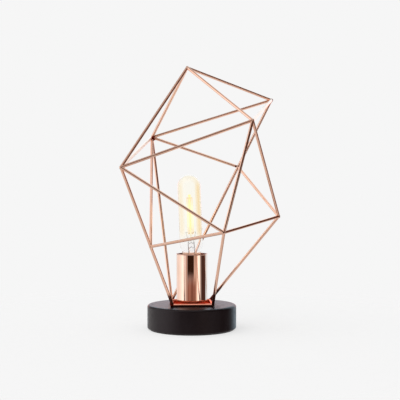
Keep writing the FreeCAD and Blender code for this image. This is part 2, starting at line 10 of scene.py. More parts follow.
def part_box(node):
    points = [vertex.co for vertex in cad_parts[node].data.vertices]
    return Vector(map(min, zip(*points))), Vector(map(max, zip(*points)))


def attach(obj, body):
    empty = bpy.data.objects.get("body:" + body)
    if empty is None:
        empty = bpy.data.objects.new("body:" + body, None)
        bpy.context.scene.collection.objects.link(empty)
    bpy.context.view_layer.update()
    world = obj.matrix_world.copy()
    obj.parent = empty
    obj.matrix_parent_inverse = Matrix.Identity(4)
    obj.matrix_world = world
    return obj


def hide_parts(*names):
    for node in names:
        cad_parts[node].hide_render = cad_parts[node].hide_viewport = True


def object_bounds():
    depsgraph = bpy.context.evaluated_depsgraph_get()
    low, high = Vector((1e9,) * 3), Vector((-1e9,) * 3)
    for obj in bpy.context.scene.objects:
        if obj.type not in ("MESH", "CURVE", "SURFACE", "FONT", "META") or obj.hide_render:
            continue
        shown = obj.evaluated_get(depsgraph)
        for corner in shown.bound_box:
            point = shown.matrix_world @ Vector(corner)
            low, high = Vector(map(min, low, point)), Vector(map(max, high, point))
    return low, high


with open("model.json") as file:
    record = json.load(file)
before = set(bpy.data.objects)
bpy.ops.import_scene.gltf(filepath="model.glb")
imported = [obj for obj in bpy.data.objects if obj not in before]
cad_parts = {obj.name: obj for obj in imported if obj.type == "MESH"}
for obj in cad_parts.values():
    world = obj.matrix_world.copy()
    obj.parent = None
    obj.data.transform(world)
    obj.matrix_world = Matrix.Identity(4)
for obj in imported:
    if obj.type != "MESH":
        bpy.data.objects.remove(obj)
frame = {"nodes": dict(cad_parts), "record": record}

# Looks of a table lamp: polished copper wire cage and cup, lit filament bulb, black lacquered base.
# Metres, in the frame of the solids.

CAD_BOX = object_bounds()
NODES = frame["nodes"]
MM = 0.001

# Camera: level, at the front, a little right of the lamp's axis
CAMERA_PLACE = (0.0112, -1.100, 0.1757)
CAMERA_LENS = 72.45
CAMERA_SENSOR = 36.0

# Light
PALE = 0.9216                 # background and floor, as rendered
AMBIENT = 0.62                # even light on dull surfaces
KEY_LIGHT = 1.42              # soft lamp from the upper left
KEY_SPREAD = 80.0             # degrees
KEY_WAY = (0.55, 0.35, -1.0)  # the way its light goes
FLOOR_SIZE = 1.2
FLOOR_SOLID = 0.25            # radius where the floor starts to fade into the background
FLOOR_GONE = 0.55
FLOOR_EVEN = 0.65             # share of the floor's brightness that shadows leave

# Sizes that repeat the solids
CUP_BORE = 20.1 * MM          # just outside the cup's inner wall
CUP_RIM = 102.0 * MM          # above it the rolled rim is dull and darkened with painted shade, like the inner wall
BULB_LEAN = math.radians(2.3)
CAP_RIM = 96.7 * MM           # the glass leans about this level
FILAMENT_RUNS = 6
FILAMENT_RADIUS = 3.6 * MM
FILAMENT_BOTTOM = 131.2 * MM
FILAMENT_TOP = 177.2 * MM
TUBE_BORE = 3.5 * MM          # radius

# Marks on the copper: heat marks, painted shade in the cup, and painted dark reflection of the base on
# the legs
CUP_BLEND = 0.2 * MM          # between the cup's polished outer face and its dull inner face with painted shade
LEG_REFLECTION_FULL = 40.0 * MM         # the legs' painted dark reflection of the black base is full below this level
LEG_REFLECTION_GONE = 47.0 * MM
LEG_UNEVEN = 6.0 * MM
LEG_REFLECTION_RIGHT = 9.0 * MM    # so much higher on the right
LEG_REFLECTION_FRONT = 6.0 * MM    # and at the front of the left side
LEG_REFLECTION_BACK = -4.0 * MM    # but lower at its back
LEGS_LEFT = 15.0 * MM         # across: the left side ends here
LEGS_RIGHT = 28.0 * MM
LEGS_DEPTH = 15.0 * MM        # from the axis to front and back
SCORCH_PLACE = (62.7 * MM, 51.8 * MM, 223.9 * MM)  # dark spot on the back brace, near its lower end
SCORCH_CORE = 1.3 * MM        # radius within which it is darkest
SCORCH_EDGE = 2.0 * MM

# Painted light and tint in the bulb, by level
NECK_REFLECTION = 102.8 * MM      # below this the neck shows a painted reflection of the cup's copper
NECK_CLEAR = 105.8 * MM
GLASS_DIM = 112.0 * MM        # below this the glass has no painted light from the filament
GLASS_LIT = 135.0 * MM
GLASS_DOME = 192.0 * MM       # above this the tint thins out
GLASS_TOP = 204.0 * MM
GLASS_SIDE = 8.0 * MM         # across: the tint is thinner left of the axis
STEM_COOL = 118.0 * MM
STEM_WARM = 140.0 * MM        # above this the stem's rod has painted warm light from the filament
COOL_END = 14.0 * MM          # the filament glows less this near to its supports

# Weld beads at the corners of the cage
BEAD_RADIUS = 2.12 * MM
BEAD_REACH = 3.6 * MM         # along each bar
BEAD_TAPER = 0.30 * MM        # thinner than the bead where it runs out on the bar
BEAD_FILLET = 0.9 * MM
BEAD_MELT = 0.25 * BEAD_FILLET  # how softly the arms run into each other
BEAD_LUMPS = 0.14 * MM
BEAD_LUMP_PACE = 0.5          # lumps per width of the fillet
BEAD_FAR = 3 * BEAD_REACH     # farther out than any bead, and nearer than a bar's other end
BEAD_DETAIL = 4               # subdivisions of the sphere that becomes the bead
BEAD_ROUNDS = 60              # rounds in which its points move to the bead's skin
BEAD_PACE = 0.6               # share of the way in each round

# Threads
SCREW_PITCH = 3.62 * MM       # bulb cap and screw shell
SCREW_DEPTH = 0.80 * MM
SHELL_DEPTH = 0.34 * MM
TUBE_PITCH = 1.0 * MM
TUBE_DEPTH = 0.55 * MM
TUBE_BEVEL = 0.4 * MM
TURN_STEPS = 96
THREAD_STEPS = 10             # rows per pitch

# Walls of bulb cap and screw shell
CAP_WALL = 0.4 * MM
CAP_FOOT = 1.4 * MM           # rounding
CAP_FOOT_STEPS = 4
CAP_COLLAR = 3.0 * MM         # plain above the thread
CAP_FLARE = 0.8 * MM          # height of the turned-out rim
CAP_LIP = 0.2 * MM
SHELL_WALL = 0.12 * MM
SHELL_INSET = 0.5 * MM        # from the solid's outer face to the thread's root

# Solder on the bulb's tip
SOLDER_STEPS = 12
SOLDER_RISE = 0.9             # share of the tip's height that the dome takes
SOLDER_CURVE = 2.6            # power
SOLDER_EDGE = 0.05 * MM       # smooth this near to its lowest point and its top
SOLDER_LUMPS = 0.06 * MM
SOLDER_LUMP_PACE = 700        # per metre

# Wires in the bulb's glass press, and folds of the glass where it was pinched
SEAL_WIRE = 0.2 * MM
SEAL_SPREAD = 3.4 * MM        # from the bulb's axis, where the lead wires stand
FOLD_RADIUS = 0.3 * MM
FOLD_REACH = 4.2 * MM
FOLD_RISE = 0.8 * MM
FOLD_STEPS = 16               # to each side
FOLD_LEVELS = [1.8 * MM, 8.0 * MM]  # below the top of the press

# Coiled filament wire
COIL_RADIUS = 0.45 * MM
COIL_WIRE = 0.11 * MM
COIL_PITCH = 0.42 * MM
COIL_STEPS = 9


# Node helpers

def node(tree, kind, **settings):
    made = tree.nodes.new(kind)
    for name, value in settings.items():
        setattr(made, name, value)
    return made


def wire(tree, source, target):
    """Join an output socket to an input socket, or set the input to a plain value."""
    if isinstance(source, bpy.types.NodeSocket):
        tree.links.new(source, target)
    else:
        target.default_value = source


def sums(tree, operation, first, second=0.0, clamp=False):
    """Output of one math node."""
    made = node(tree, "ShaderNodeMath", operation=operation, use_clamp=clamp)
    wire(tree, first, made.inputs[0])
    wire(tree, second, made.inputs[1])
    return made.outputs[0]


def between(tree, value, low, high, start=0.0, end=1.0):
    """Output of a smooth step from start to end as value goes from low to high."""
    made = node(tree, "ShaderNodeMapRange", interpolation_type="SMOOTHSTEP")
    wire(tree, value, made.inputs["Value"])
    wire(tree, low, made.inputs["From Min"])
    wire(tree, high, made.inputs["From Max"])
    wire(tree, start, made.inputs["To Min"])
    wire(tree, end, made.inputs["To Max"])
    return made.outputs["Result"]


def blended(tree, share, first, second):
    """Colour output that goes from first to second."""
    made = node(tree, "ShaderNodeMix", data_type="RGBA")
    wire(tree, share, made.inputs["Factor"])
    wire(tree, first, made.inputs["A"])
    wire(tree, second, made.inputs["B"])
    return made.outputs["Result"]


def noise(tree, scale, detail=3.0, stretch=(1, 1, 1)):
    """Noise in the object's own metres."""
    place = node(tree, "ShaderNodeTexCoord")
    sized = node(tree, "ShaderNodeMapping")
    sized.inputs["Scale"].default_value = stretch
    tree.links.new(place.outputs["Object"], sized.inputs["Vector"])
    made = node(tree, "ShaderNodeTexNoise")
    made.inputs["Scale"].default_value = scale
    made.inputs["Detail"].default_value = detail
    tree.links.new(sized.outputs["Vector"], made.inputs["Vector"])
    return made.outputs["Fac"]


def spot(tree, axis):
    """Place along one axis in the object's own metres."""
    place = node(tree, "ShaderNodeTexCoord")
    parts = node(tree, "ShaderNodeSeparateXYZ")
    tree.links.new(place.outputs["Object"], parts.inputs[0])
    return parts.outputs[axis]


def height(tree):
    return spot(tree, "Z")


def across(tree):
    return spot(tree, "X")


def behind(tree):
    return spot(tree, "Y")


def off_axis(tree):
    """Distance from the lamp's upright axis, in metres."""
    place = node(tree, "ShaderNodeTexCoord")
    flat = node(tree, "ShaderNodeVectorMath", operation="MULTIPLY")
    tree.links.new(place.outputs["Object"], flat.inputs[0])
    flat.inputs[1].default_value = (1, 1, 0)
    long = node(tree, "ShaderNodeVectorMath", operation="LENGTH")
    tree.links.new(flat.outputs[0], long.inputs[0])
    return long.outputs["Value"]


def bumped(tree, relief, distance, strength=1.0):
    made = node(tree, "ShaderNodeBump")
    made.inputs["Strength"].default_value = strength
    made.inputs["Distance"].default_value = distance
    wire(tree, relief, made.inputs["Height"])
    return made.outputs["Normal"]


def material(name):
    """New material with a plain principled shader, and that shader."""
    made = bpy.data.materials.new(name)
    made.use_nodes = True
    return made, made.node_tree, made.node_tree.nodes["Principled BSDF"]


def grey(level):
    return (level, level, level, 1.0)


# Materials

def copper(name, roughness, tint, ripple=0.25, darkened=None, dark_tint=None, edge=None):
    """Polished rose copper plating: faint cloudiness and a very fine ripple; darkened areas are dark and
    dull, heat marks as well as painted shade and painted reflection.

    The edge is the tint that the metal has where it is seen edge on.
    """
    made, tree, shader = material(name)
    shader.inputs["Metallic"].default_value = 1.0
    cloud = noise(tree, scale=60.0, detail=4.0)
    deep = tuple(0.95 * c for c in tint[:2]) + (0.92 * tint[2], 1.0)
    colour = blended(tree, between(tree, cloud, 0.35, 0.65), deep, tint + (1.0,))
    haze = noise(tree, scale=400.0, detail=3.0)
    dull = between(tree, haze, 0.3, 0.7, 0.7 * roughness, 1.3 * roughness)
    if darkened:
        share = darkened(tree)
        colour = blended(tree, share, colour, dark_tint + (1.0,))
        dull = sums(tree, "ADD", dull, sums(tree, "MULTIPLY", share, DARKENED_ROUGHNESS))
    wire(tree, colour, shader.inputs["Base Color"])
    wire(tree, dull, shader.inputs["Roughness"])
    waves = noise(tree, scale=900.0, detail=2.0)
    wire(tree, bumped(tree, waves, 0.01 * MM, ripple), shader.inputs["Normal"])
    if edge:
        shader.inputs["Specular Tint"].default_value = edge + (1.0,)
    return made


def shaded_inside_cup(tree):
    """Share of the unpolished inner wall and the top of the rolled rim, where painted shade darkens the
    copper.
    """
    inner = between(tree, off_axis(tree), CUP_BORE, CUP_BORE + CUP_BLEND, 1.0, 0.0)
    return sums(tree, "MAXIMUM", inner, between(tree, height(tree), CUP_RIM, CUP_RIM + CUP_BLEND))


def leg_base_reflection(tree):
    """Share of the painted dark reflection of the black base on the legs above the brazed foot, at an
    uneven height.
    """
    ragged_edge = noise(tree, scale=150.0, detail=3.0)
    uneven = sums(tree, "MULTIPLY", sums(tree, "SUBTRACT", ragged_edge, 0.5), LEG_UNEVEN)
    left = between(tree, behind(tree), -LEGS_DEPTH, LEGS_DEPTH, LEG_REFLECTION_FRONT, LEG_REFLECTION_BACK)
    higher = between(tree, across(tree), LEGS_LEFT, LEGS_RIGHT, left, LEG_REFLECTION_RIGHT)
    level = sums(tree, "ADD", height(tree), sums(tree, "SUBTRACT", uneven, higher))
    return between(tree, level, LEG_REFLECTION_FULL, LEG_REFLECTION_GONE, 1.0, 0.0)


def scorch(tree):
    """Share of the small dark spot that the heat left on the back brace."""
    place = node(tree, "ShaderNodeTexCoord")
    away = node(tree, "ShaderNodeVectorMath", operation="DISTANCE")
    tree.links.new(place.outputs["Object"], away.inputs[0])
    away.inputs[1].default_value = SCORCH_PLACE
    return between(tree, away.outputs["Value"], SCORCH_CORE, SCORCH_EDGE, 1.0, 0.0)


def black_lacquer():
    """Satin black lacquer over turned wood: faint grain and uneven sheen."""
    made, tree, shader = material("black_lacquer")
    grain = noise(tree, scale=30.0, detail=5.0, stretch=(1.0, 14.0, 1.0))
    dark = (0.0045, 0.0026, 0.0034, 1)
    light = (0.0070, 0.0046, 0.0058, 1)
    wire(tree, blended(tree, between(tree, grain, 0.3, 0.7), dark, light), shader.inputs["Base Color"])
    sheen = noise(tree, scale=180.0, detail=4.0)
    wire(tree, between(tree, sheen, 0.25, 0.75, 0.32, 0.42), shader.inputs["Roughness"])
    shader.inputs["Specular IOR Level"].default_value = 0.27
    shader.inputs["Specular Tint"].default_value = (1.0, 0.87, 0.89, 1)
    fine = sums(tree, "ADD", grain, noise(tree, scale=1400.0, detail=2.0))
    wire(tree, bumped(tree, fine, 0.04 * MM, 0.2), shader.inputs["Normal"])
    return made


def felt():
    made, tree, shader = material("pad_felt")
    fluff = noise(tree, scale=2200.0, detail=6.0)
    colour = blended(tree, fluff, grey(0.008), (0.05, 0.048, 0.047, 1))
    wire(tree, colour, shader.inputs["Base Color"])
    shader.inputs["Roughness"].default_value = 0.95
    shader.inputs["Sheen Weight"].default_value = 0.3
    wire(tree, bumped(tree, fluff, 0.3 * MM, 0.8), shader.inputs["Normal"])
    return made


def speckled(tree, shader, spots, low, high, roughness, relief):
    """Vary a shader's colour, roughness and relief with one noise."""
    wire(tree, blended(tree, spots, low + (1.0,), high + (1.0,)), shader.inputs["Base Color"])
    dull = between(tree, spots, 0.2, 0.8, 0.8 * roughness, 1.2 * roughness)
    wire(tree, dull, shader.inputs["Roughness"])
    wire(tree, bumped(tree, spots, relief, 0.3), shader.inputs["Normal"])


def moulded(name, low, high, roughness, grain=900.0):
    """Moulded or fired surface with a fine grain."""
    made, tree, shader = material(name)
    spots = noise(tree, scale=grain, detail=4.0)
    speckled(tree, shader, spots, low, high, roughness, 0.05 * MM)
    return made


def metal(name, low, high, roughness, stretch=(1, 1, 6)):
    """Bare or plated metal with faint drawing marks."""
    made, tree, shader = material(name)
    shader.inputs["Metallic"].default_value = 1.0
    marks = noise(tree, scale=300.0, detail=4.0, stretch=stretch)
    speckled(tree, shader, marks, low, high, roughness, 0.03 * MM)
    return made


def edge_on(tree, low, high):
    """Share of how far a surface is seen edge on."""
    edge = node(tree, "ShaderNodeLayerWeight")
    edge.inputs["Blend"].default_value = 0.5
    return between(tree, edge.outputs["Facing"], low, high)


def bulb_glass():
    """Gold-tinted glass, with a painted glow for the filament's light inside it.

    Its amber deepens where the wall is seen edge on, and a painted reflection of the cup's copper glows
    in its neck.
    """
    made, tree, shader = material("bulb_amber_glass")
    shader.inputs["Transmission Weight"].default_value = 1.0
    shader.inputs["IOR"].default_value = 1.3
    shader.inputs["Roughness"].default_value = 0.0
    streak = noise(tree, scale=35.0, detail=3.0, stretch=(1, 1, 0.15))
    depth = sums(tree, "MULTIPLY", edge_on(tree, 0.11, 0.20), between(tree, streak, 0.2, 0.8, 0.75, 1.0))
    depth = sums(tree, "MULTIPLY", depth, between(tree, edge_on(tree, 0.31, 0.66), 0.0, 1.0, 1.0, 0.3))
    depth = sums(tree, "MULTIPLY", depth, between(tree, height(tree), GLASS_DOME, GLASS_TOP, 1.0, 0.35))
    lit = between(tree, height(tree), GLASS_DIM, GLASS_LIT)
    depth = sums(tree, "MULTIPLY", depth, lit)
    depth = sums(tree, "MULTIPLY", depth, between(tree, across(tree), -GLASS_SIDE, GLASS_SIDE, 0.5, 1.0))
    clear_tint = (1.0, 0.995, 0.96, 1)
    amber_tint = (0.99, 0.87, 0.66, 1)
    dim_tint = (0.90, 0.895, 0.89, 1)
    tint = blended(tree, depth, clear_tint, amber_tint)
    wire(tree, blended(tree, lit, dim_tint, tint), shader.inputs["Base Color"])
    # painted glow on the glass: warm where the filament lights it, grey below that
    clear_glow = (0.014, 0.0112, 0.0042, 1)
    amber_glow = (0.014, 0.0101, 0.0042, 1)
    dim_glow = (0.046, 0.044, 0.043, 1)
    # painted reflection of the cup's copper in the neck
    painted_copper_reflection = (0.125, 0.080, 0.055, 1)
    glow = blended(tree, lit, dim_glow, blended(tree, depth, clear_glow, amber_glow))
    neck = between(tree, height(tree), NECK_REFLECTION, NECK_CLEAR, 1.0, 0.0)
    wire(tree, blended(tree, neck, glow, painted_copper_reflection), shader.inputs["Emission Color"])
    shader.inputs["Emission Strength"].default_value = 1.0
    return made


def stem_glass():
    """Glass stem, grey where it is seen edge on; its rod has a painted warm tint and glow for the
    filament's light.
    """
    made, tree, shader = material("stem_glass")
    shader.inputs["Transmission Weight"].default_value = 1.0
    shader.inputs["IOR"].default_value = 1.2
    shader.inputs["Roughness"].default_value = 0.02
    face_tint = (0.98, 0.97, 0.97, 1)
    edge_tint = (0.10, 0.10, 0.12, 1)
    painted_filament_tint = (0.97, 0.87, 0.50, 1)
    painted_filament_glow = (1.0, 0.85, 0.25, 1)
    clear = blended(tree, edge_on(tree, 0.25, 0.60), face_tint, edge_tint)
    warm = between(tree, height(tree), STEM_COOL, STEM_WARM)
    wire(tree, blended(tree, warm, clear, painted_filament_tint), shader.inputs["Base Color"])
    wire(tree, blended(tree, warm, grey(0.0), painted_filament_glow), shader.inputs["Emission Color"])
    shader.inputs["Emission Strength"].default_value = 0.10
    waves = noise(tree, scale=250.0, detail=3.0)
    wire(tree, bumped(tree, waves, 0.2 * MM, 0.3), shader.inputs["Normal"])
    return made


def glowing_wire():
    """Glowing filament, a little brighter in patches along its coils and cooler at its supports."""
    made, tree, shader = material("filament_glow")
    coils = noise(tree, scale=700.0, detail=2.0)
    hot_glow = (0.88, 0.80, 0.36, 1)
    hotter_glow = (0.88, 0.84, 0.47, 1)
    cool_glow = (0.66, 0.50, 0.28, 1)
    hot = blended(tree, coils, hot_glow, hotter_glow)
    level = height(tree)
    cool = sums(
        tree, "MAXIMUM",
        between(tree, level, FILAMENT_BOTTOM, FILAMENT_BOTTOM + COOL_END, 1.0, 0.0),
        between(tree, level, FILAMENT_TOP - COOL_END, FILAMENT_TOP, 0.0, 1.0))
    wire(tree, blended(tree, cool, hot, cool_glow), shader.inputs["Emission Color"])
    shader.inputs["Base Color"].default_value = (0.45, 0.34, 0.18, 1)
    shader.inputs["Emission Strength"].default_value = 1.0
    return made


COPPER_TINT = (0.94, 0.61, 0.475)
RED_COPPER = (0.94, 0.39, 0.275)  # reddened where the foot was brazed
# dark maroon inside the cup: painted shade on its dull inner wall and rim top
SHADED_INSIDE_TINT = (0.42, 0.17, 0.12)
DARKENED_ROUGHNESS = 0.35
FINISHES = {
    # the legs' dark tint low down is a painted reflection of the black base below them
    "cage_copper": copper("cage_copper", 0.10, COPPER_TINT, 0.25, leg_base_reflection, (0.16, 0.06, 0.045)),
    # the cup's dull inside gets painted shade
    "cup_copper": copper("cup_copper", 0.025, (0.94, 0.66, 0.54), 0.08, shaded_inside_cup, SHADED_INSIDE_TINT),
    "base_black": black_lacquer(),
    "pad_felt": felt(),
    "grommet_rubber": moulded("grommet_rubber", (0.012, 0.012, 0.012), (0.03, 0.03, 0.03), 0.6),
    "zinc_steel": metal("zinc_steel", (0.52, 0.52, 0.50), (0.68, 0.68, 0.66), 0.32),
    "holder_bakelite": moulded("holder_bakelite", (0.020, 0.014, 0.012), (0.035, 0.026, 0.022), 0.38),
    "insert_ceramic": moulded("insert_ceramic", (0.80, 0.78, 0.72), (0.88, 0.86, 0.82), 0.7),
    "contact_brass": metal("contact_brass", (0.72, 0.53, 0.24), (0.82, 0.64, 0.33), 0.22),
    "cap_brass": metal("cap_brass", (0.74, 0.58, 0.28), (0.84, 0.68, 0.37), 0.2, (1, 1, 0.3)),
    "tip_solder": metal("tip_solder", (0.50, 0.50, 0.50), (0.66, 0.66, 0.67), 0.42, (1, 1, 1)),
    "insulator_black": moulded("insulator_black", (0.015, 0.015, 0.02), (0.03, 0.03, 0.035), 0.12, 300.0),
    "bulb_amber_glass": bulb_glass(),
    "stem_glass": stem_glass(),
    "bulb_wire": metal("bulb_wire", (0.66, 0.64, 0.61), (0.80, 0.78, 0.75), 0.5),
    "filament_glow": glowing_wire(),
}
WELD_COPPER = copper("weld_copper", 0.24, tuple(0.86 * c for c in COPPER_TINT), 0.5)
BURNT_COPPER = copper("burnt_copper", 0.5, (0.24, 0.025, 0.010), 0.6)
SINGED_COPPER = copper("singed_copper", 0.4, (0.34, 0.10, 0.055), 0.6)
BRACE_COPPER = copper("brace_copper", 0.10, COPPER_TINT, 0.25, scorch, (0.06, 0.003, 0.001))
FOOT_COPPER = copper("foot_copper", 0.08, RED_COPPER, edge=(0.80, 0.45, 0.35))
FOOT_NODES = ["foot_bar_front", "foot_bar_right", "foot_bar_back", "foot_bar_left", "cage_nut"]
# the plate under the cup is dark red: painted shade of the narrow gap between cup and base
SHADED_PLATE_COPPER = copper("shaded_plate_copper", 0.30, (0.62, 0.17, 0.10), edge=(0.52, 0.12, 0.06))
FOLDED_GLASS = moulded("folded_glass", (0.20, 0.19, 0.20), (0.34, 0.33, 0.34), 0.2)
SEAL_METAL = metal("seal_metal", (0.10, 0.08, 0.08), (0.20, 0.17, 0.16), 0.4)


def dress_nodes():
    """Give every node the finish of its slot, the reddened and scorched ones their own, and the plate its
    painted shade.
    """
    for part in frame["record"]["subparts"]:
        NODES[part["node"]].data.materials[0] = FINISHES[part["material_slot"]]
    for name in FOOT_NODES:
        NODES[name].data.materials[0] = FOOT_COPPER
    NODES["cage_plate"].data.materials[0] = SHADED_PLATE_COPPER
    NODES["back_brace"].data.materials[0] = BRACE_COPPER


# Pieces

def piece(name, made, body, slot, finish=None):
    """Finished mesh as an object that rides on a body and takes a slot's finish."""
    mesh = bpy.data.meshes.new(name)
    bmesh.ops.recalc_face_normals(made, faces=made.faces)
    made.to_mesh(mesh)
    made.free()
    mesh.polygons.foreach_set("use_smooth", [True] * len(mesh.polygons))
    mesh.materials.append(finish or FINISHES[slot])
    thing = bpy.data.objects.new(name, mesh)
    bpy.context.scene.collection.objects.link(thing)
    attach(thing, body)
    return thing


# Corners of the cage and the bars that meet there
CAGE_CORNERS = {
    "apex": ["apex_bar_front_left", "apex_bar_front_right", "apex_bar_back_right", "apex_bar_back_left"],
    "crown_front_left": [
        "apex_bar_front_left", "crown_bar_front", "crown_bar_left", "leg_front_left", "front_diagonal"],
    "crown_front_right": [
        "apex_bar_front_right", "crown_bar_front", "crown_bar_right", "front_upright", "right_upright"],
    "crown_back_right": ["apex_bar_back_right", "crown_bar_right", "crown_bar_back", "leg_long_back"],
    "crown_back_left": [
        "apex_bar_back_left", "crown_bar_back", "crown_bar_left", "left_brace", "back_brace",
        "leg_back_left"],
    "waist_front": [
        "front_diagonal", "front_upright", "waist_bar_front", "waist_bar_right", "leg_front_right"],
    "waist_right": ["right_upright", "waist_bar_right", "waist_bar_back", "leg_back_right"],
    "waist_left": ["leg_front_left", "left_brace", "waist_bar_front"],
    "waist_back": ["leg_long_back", "back_brace", "waist_bar_back"],
    "foot_front_left": ["leg_front_left", "foot_bar_front", "foot_bar_left"],
    "foot_front_right": ["leg_front_right", "foot_bar_front", "foot_bar_right"],
    "foot_back_right": ["leg_back_right", "foot_bar_right", "foot_bar_back"],
    "foot_back_left": ["leg_back_left", "leg_long_back", "foot_bar_back", "foot_bar_left"],
}

# Beads that the heat has marked: finish, how much thicker than the others, and how far off the corner
MARKED_BEADS = {
    "crown_back_left": (BURNT_COPPER, 0.45 * MM, (0.4 * MM, 0, -1.3 * MM)),
    "crown_back_right": (SINGED_COPPER, 0.0, (0, 0, 0)),
    "foot_front_left": (BURNT_COPPER, 0.0, (-1.2 * MM, 0, 0)),
    "foot_back_right": (BURNT_COPPER, 0.0, (0, 0, 0)),
}
PLAIN_BEAD = (WELD_COPPER, 0.0, (0, 0, 0))


def bar_line(name):
    """Middle and direction of a round bar, from the faces of its solid."""
    faces = NODES[name].data.polygons
    areas = np.array([face.area for face in faces])
    normals = np.array([face.normal for face in faces])
    middle = areas @ np.array([face.center for face in faces]) / areas.sum()
    spread = (normals * areas[:, None]).T @ normals
    return middle, np.linalg.eigh(spread)[1][:, 0]


def corner_place(lines):
    """Point nearest to all the lines."""
    flats = [np.eye(3) - np.outer(way, way) for middle, way in lines]
    return np.linalg.solve(sum(flats), sum(flat @ middle for flat, (middle, way) in zip(flats, lines)))


def bar_ways(name, place, line):
    """Directions in which a bar leaves a corner: one at its end, two where it passes through."""
    middle, way = line
    along = np.array([vertex.co for vertex in NODES[name].data.vertices])
    along = (along - place) @ way
    return [way * sign for sign in (-1, 1) if (sign * along).max() > BEAD_FAR]


def bead_distance(points, ways, thickness):
    """Distance outside a bead: short tapered arms along the bars, melted together."""
    total = np.zeros(len(points))
    for way in ways:
        along = np.clip(points @ way, 0, BEAD_REACH)
        radius = thickness - BEAD_TAPER * (along / BEAD_REACH) ** 2
        away = np.linalg.norm(points - along[:, None] * way, axis=1) - radius
        total += np.exp(-away / BEAD_MELT)
    return -BEAD_MELT * np.log(total / len(ways) ** 0.5)


def weld_bead(corner, bars):
    """Small brazed bead that hugs the bars at one corner."""
    lines = [bar_line(bar) for bar in bars]
    place = corner_place(lines)
    finish, thicker, off = MARKED_BEADS.get(corner, PLAIN_BEAD)
    ways = [way for bar, line in zip(bars, lines) for way in bar_ways(bar, place, line)]
    made = bmesh.new()
    bmesh.ops.create_icosphere(made, subdivisions=BEAD_DETAIL, radius=1.0)
    rays = np.array([vertex.co for vertex in made.verts])
    rays /= np.linalg.norm(rays, axis=1)[:, None]
    far = np.full(len(rays), BEAD_FAR)
    for step in range(BEAD_ROUNDS):
        far -= BEAD_PACE * bead_distance(rays * far[:, None], ways, BEAD_RADIUS + thicker)
    low, high = (np.array(end) for end in CAD_BOX)
    for vertex, ray, reach in zip(made.verts, rays, far):
        skin = place + np.array(off) + ray * reach
        skin = skin + ray * BEAD_LUMPS * lumps.noise(Vector(skin) / BEAD_FILLET * BEAD_LUMP_PACE)
        vertex.co = np.clip(skin, low, high)
    return piece("weld_" + corner, made, "lamp", "cage_copper", finish)


def turned(outline, depth=0.0, pitch=1.0):
    """Closed turned mesh from an outline of (radius, height, share of the thread's depth)."""
    made = bmesh.new()
    rows = []
    for radius, level, share in outline:
        if radius == 0:
            rows.append([made.verts.new((0, 0, level))] * TURN_STEPS)
            continue
        row = []
        for step in range(TURN_STEPS):
            turn = math.tau * step / TURN_STEPS
            wave = 0.5 + 0.5 * math.cos(math.tau * level / pitch - turn)
            out = radius + share * depth * wave
            row.append(made.verts.new((out * math.cos(turn), out * math.sin(turn), level)))
        rows.append(row)
    closed = outline[0][0] > 0
    for first, second in zip(rows, rows[1:] + (rows[:1] if closed else [])):
        for step in range(TURN_STEPS):
            corners = [first[step - 1], first[step], second[step], second[step - 1]]
            corners = list(dict.fromkeys(corners))
            if len(corners) > 2:
                made.faces.new(corners)
    return made


def thread_rows(radius, bottom, top, pitch, fade):
    """Outline of a threaded wall: the thread runs out over a fade at both ends."""
    count = math.ceil((top - bottom) / pitch * THREAD_STEPS)
    rows = []
    for step in range(count + 1):
        level = bottom + (top - bottom) * step / count
        share = min(1.0, (level - bottom) / fade, (top - level) / fade)
        rows.append((radius, level, share))
    return rows


def levels(name):
    """Lowest level, highest level and outer radius of an upright round node."""
    low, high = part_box(name)
    return low.z, high.z, high.x


def screw_cap():
    """Bulb's rolled brass cap: thread, rounded foot and turned-out rim."""
    bottom, top, radius = levels("bulb_cap")
    root = radius - SCREW_DEPTH
    foot = bottom + CAP_FOOT
    collar = top - CAP_COLLAR
    flare = top - CAP_FLARE
    fade = SCREW_PITCH / 2
    hub = levels("bulb_insulator")[2]
    outside = [(0, bottom, 0), (hub, bottom, 0)]
    for step in range(CAP_FOOT_STEPS + 1):
        turn = math.pi / 2 * step / CAP_FOOT_STEPS
        out = root - CAP_FOOT + CAP_FOOT * math.sin(turn)
        outside.append((out, foot - CAP_FOOT * math.cos(turn), 0))
    outside += thread_rows(root, foot, collar, SCREW_PITCH, fade)[1:]
    outside += [(root, collar + CAP_LIP, 0), (root, flare, 0), (root + CAP_WALL, top - CAP_LIP, 0)]
    inside = [(root + CAP_WALL, top, 0), (root - CAP_LIP, top, 0), (root - CAP_WALL, flare, 0)]
    walls = thread_rows(root - CAP_WALL, foot, collar, SCREW_PITCH, fade)
    inside += walls[::-1]
    inside += [(root - CAP_FOOT, bottom + CAP_WALL, 0), (0, bottom + CAP_WALL, 0)]
    cap = piece("screw_cap", turned(outside + inside, SCREW_DEPTH, SCREW_PITCH), "bulb", "cap_brass")
    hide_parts("bulb_cap")


def threaded_shell():
    """Lampholder's thin brass shell with a rolled thread."""
    bottom, top, radius = levels("screw_shell")
    root = radius - SHELL_INSET
    inner = thread_rows(root, bottom, top, SCREW_PITCH, SCREW_PITCH / 2)
    outer = [(root + SHELL_WALL, level, share) for out, level, share in inner]
    made = turned(inner + outer[::-1], SHELL_DEPTH, SCREW_PITCH)
    shell = piece("threaded_shell", made, "lamp", "contact_brass")
    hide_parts("screw_shell")


def centre_tube():
    """Threaded tube through base, plate and cup."""
    bottom, top, radius = levels("threaded_tube")
    low = bottom + TUBE_BEVEL
    high = top - TUBE_BEVEL
    mouth = TUBE_BORE + TUBE_BEVEL
    outside = thread_rows(radius - TUBE_DEPTH, low, high, TUBE_PITCH, TUBE_PITCH)
    inside = [(mouth, top, 0), (TUBE_BORE, high, 0), (TUBE_BORE, low, 0), (mouth, bottom, 0)]
    tube = piece("centre_tube", turned(outside + inside, TUBE_DEPTH, TUBE_PITCH), "lamp", "zinc_steel")
    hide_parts("threaded_tube")


